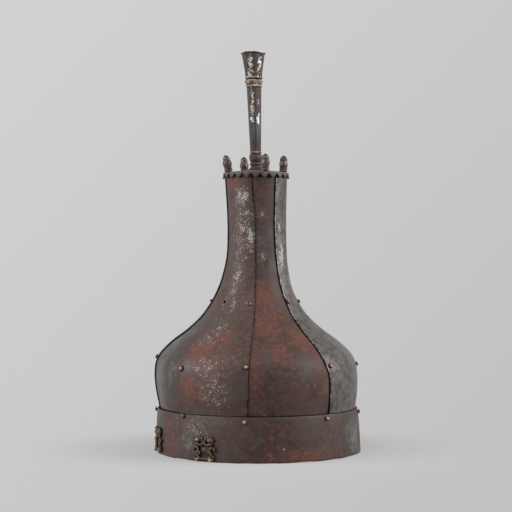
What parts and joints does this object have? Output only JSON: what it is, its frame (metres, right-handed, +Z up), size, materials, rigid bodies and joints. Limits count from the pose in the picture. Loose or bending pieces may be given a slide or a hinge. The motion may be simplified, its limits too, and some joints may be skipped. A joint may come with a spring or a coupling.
{
  "type": "riveted plate helmet",
  "caption": "Tall bottle-shaped iron helmet of riveted plates with a brow band, a toothed crown cap with bud knobs and a plume tube.",
  "frame": {"origin": "centre of the brow band's lower rim, on the surface that the helmet stands on", "axes": "+Z up along the bowl towards the plume tube, -Y towards the wearer's brow, +X to the wearer's left"},
  "size_m": [0.2182, 0.2163, 0.4213],
  "materials": {
    "raised_plate_iron": "wrought iron plate, grey-brown patina with rust and worn pale specks",
    "under_plate_iron": "wrought iron plate, red-brown rust patina",
    "rivet_iron": "domed iron rivet, rubbed brighter than the plates",
    "band_iron": "wrought iron strip, dark brown patina",
    "gilt_copper": "cast copper alloy, gilding worn to the high points over dark tarnish",
    "cap_iron": "wrought iron, dark brown patina",
    "knob_iron": "turned iron, dark red-brown patina",
    "tube_iron": "faceted iron tube, remains of silver sheet over dark brown patina"
  },
  "bodies": {
    "root": {"raised_plate_1": "raised_plate_iron", "raised_plate_2": "raised_plate_iron", "raised_plate_3": "raised_plate_iron", "raised_plate_4": "raised_plate_iron", "under_plate_1": "under_plate_iron", "under_plate_2": "under_plate_iron", "under_plate_3": "under_plate_iron", "under_plate_4": "under_plate_iron", "rivet_upper_1": "rivet_iron", "rivet_upper_3": "rivet_iron", "rivet_upper_4": "rivet_iron", "rivet_upper_5": "rivet_iron", "rivet_upper_6": "rivet_iron", "rivet_upper_7": "rivet_iron", "rivet_upper_8": "rivet_iron", "rivet_middle_1": "rivet_iron", "rivet_middle_2": "rivet_iron", "rivet_middle_3": "rivet_iron", "rivet_middle_4": "rivet_iron", "rivet_middle_5": "rivet_iron", "rivet_middle_6": "rivet_iron", "rivet_middle_7": "rivet_iron", "rivet_middle_8": "rivet_iron", "rivet_band_1": "rivet_iron", "rivet_band_2": "rivet_iron", "rivet_band_3": "rivet_iron", "rivet_band_4": "rivet_iron", "rivet_band_5": "rivet_iron", "rivet_band_6": "rivet_iron", "rivet_band_7": "rivet_iron", "rivet_band_8": "rivet_iron", "lap_rivet_1": "rivet_iron", "lap_rivet_2": "rivet_iron", "brow_band": "band_iron", "brow_mount_front": "gilt_copper", "brow_mount_side": "gilt_copper", "crown_cap": "cap_iron", "knob_1": "knob_iron", "knob_2": "knob_iron", "knob_3": "knob_iron", "knob_4": "knob_iron", "plume_tube": "tube_iron", "tenon_washer": "cap_iron"}
  },
  "joints": []
}
